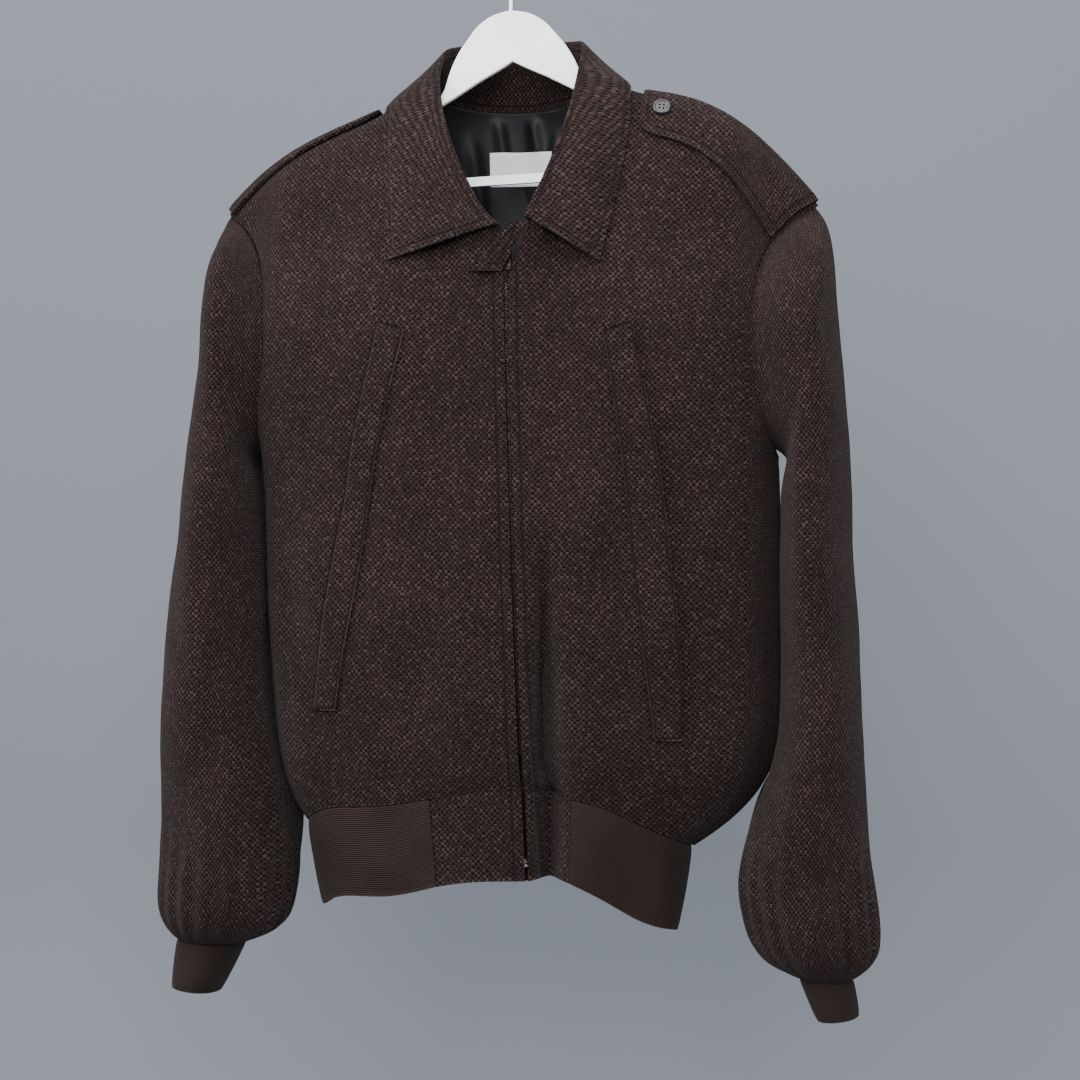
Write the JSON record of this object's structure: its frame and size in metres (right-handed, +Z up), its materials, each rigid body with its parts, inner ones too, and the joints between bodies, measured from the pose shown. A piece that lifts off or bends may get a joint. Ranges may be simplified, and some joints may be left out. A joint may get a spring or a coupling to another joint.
{
  "type": "bomber jacket on a hanger",
  "caption": "Zipped wool bomber jacket with collar, epaulettes, slanted welt pockets and rib bands, hanging on a flat hanger by its wire hook",
  "frame": {"origin": "inside top of the hook, where the rail carries it", "axes": "+X to the right as seen from the front, +Y to the back, +Z up"},
  "size_m": [0.6151, 0.1993, 0.9219],
  "materials": {
    "wool": "dark brown napped wool with a small weave",
    "rib": "fine dark brown knitted rib",
    "lining": "black satin",
    "label": "plain white woven tape",
    "horn": "dark grey polished button",
    "zip_tape": "dark brown woven tape",
    "metal": "dark zip metal",
    "hanger": "smooth white",
    "wire": "white coated wire"
  },
  "bodies": {
    "root": {"front_left": "wool", "front_right": "wool", "back": "wool", "sleeve_left": "wool", "sleeve_right": "wool", "band_tab_left": "wool", "band_tab_right": "wool", "collar": "wool", "neck_tab": "wool", "welt_left": "wool", "welt_right": "wool", "epaulette_left": "wool", "epaulette_right": "wool", "cuff_left": "rib", "cuff_right": "rib", "band_rib": "rib", "lining": "lining", "label": "label", "button_left": "horn", "button_right": "horn", "zip_tape_left": "zip_tape", "zip_tape_right": "zip_tape", "zip_chain": "metal", "zip_slider": "metal", "zip_stop": "metal", "hanger_frame": "hanger", "hanger_bar": "hanger", "hook": "wire"}
  },
  "joints": []
}
